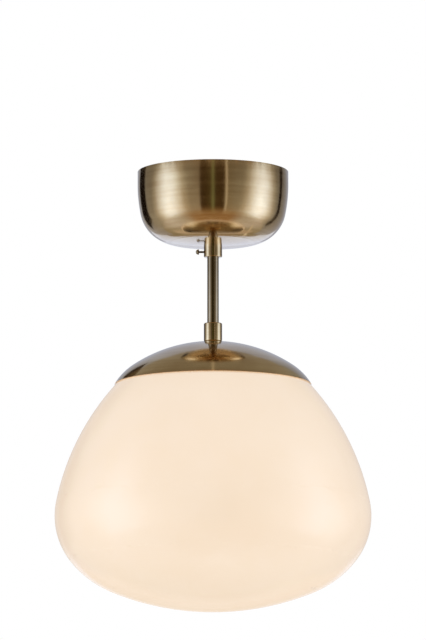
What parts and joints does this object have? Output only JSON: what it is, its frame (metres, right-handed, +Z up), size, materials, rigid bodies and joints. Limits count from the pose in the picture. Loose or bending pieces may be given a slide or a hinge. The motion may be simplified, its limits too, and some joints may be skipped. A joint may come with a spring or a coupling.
{
  "type": "ceiling light",
  "caption": "Ceiling light: spun brass canopy on a clamped sliding collar, short stem, dome cap and a closed opal glass shade that unscrews and drops clear of its screw lamp.",
  "frame": {"origin": "on the ceiling plane, on the stem's axis, midway between the bracket's two slots", "axes": "+Z up, out of the bracket's feet into the ceiling; +X along the bracket; the clamp screw points along -X"},
  "size_m": [0.3499, 0.35, 0.4916],
  "materials": {
    "antique_brass": "polished and browned sheet and bar, clear lacquered, fine turning lines",
    "zinc_steel": "zinc plated",
    "plain_brass": "bright turned",
    "opal_glass": "gloss opal glass with a clear outer layer, lit from inside",
    "white_polyamide": "moulded",
    "white_plastic": "moulded",
    "milky_plastic": "translucent, lit from inside",
    "black_phenolic": "moulded",
    "glazed_ceramic": "glazed",
    "bare_aluminium": "rolled",
    "silicone": "matt"
  },
  "bodies": {
    "fixture": {"ceiling_bracket": "zinc_steel", "stem_washer": "zinc_steel", "tooth_washer": "zinc_steel", "bracket_nut": "zinc_steel", "upper_nipple": "zinc_steel", "terminal_block": "white_polyamide", "terminal_sleeves": "plain_brass", "terminal_screws": "zinc_steel", "block_screw": "zinc_steel", "earth_washer": "plain_brass", "earth_screw": "plain_brass", "stem_tube": "antique_brass", "lower_collar": "antique_brass", "lower_nipple": "zinc_steel", "shade_cap": "antique_brass", "cap_spacer": "zinc_steel", "shade_fitter": "zinc_steel", "fitter_washer": "zinc_steel", "fitter_nut": "zinc_steel", "lampholder_cap": "black_phenolic", "lampholder_body": "black_phenolic", "lampholder_sleeve": "plain_brass", "lampholder_core": "glazed_ceramic", "lampholder_screws": "zinc_steel", "lampholder_leaf": "plain_brass"},
    "canopy": {"canopy": "antique_brass", "canopy_collar": "antique_brass"},
    "clamp_screw": {"clamp_screw": "antique_brass"},
    "shade_seal": {"shade_gasket": "silicone"},
    "shade": {"glass_shade": "opal_glass", "neck_ring": "bare_aluminium"},
    "lamp": {"lamp_contact": "plain_brass", "lamp_insulator": "black_phenolic", "lamp_shell": "bare_aluminium", "lamp_housing": "white_plastic", "lamp_diffuser": "milky_plastic"}
  },
  "joints": [
    {"name": "canopy_slide", "type": "slide", "parent": "fixture", "child": "canopy", "axis": [0, 0, 1], "range_m": [-0.0735, 0]},
    {"name": "clamp_screw_turn", "type": "hinge", "parent": "canopy", "child": "clamp_screw", "pos_m": [-0.015, 0, -0.0909], "axis": [-1, 0, 0], "range_deg": [0, 720]},
    {"name": "shade_drop", "type": "slide", "parent": "fixture", "child": "shade_seal", "axis": [0, 0, 1], "range_m": [-0.15, 0]},
    {"name": "shade_turn", "type": "hinge", "parent": "shade_seal", "child": "shade", "pos_m": [0, 0, -0.2], "axis": [0, 0, -1], "range_deg": [0, 540]},
    {"name": "lamp_turn", "type": "hinge", "parent": "fixture", "child": "lamp", "pos_m": [0, 0, -0.25], "axis": [0, 0, -1], "range_deg": [0, 1260]}
  ]
}
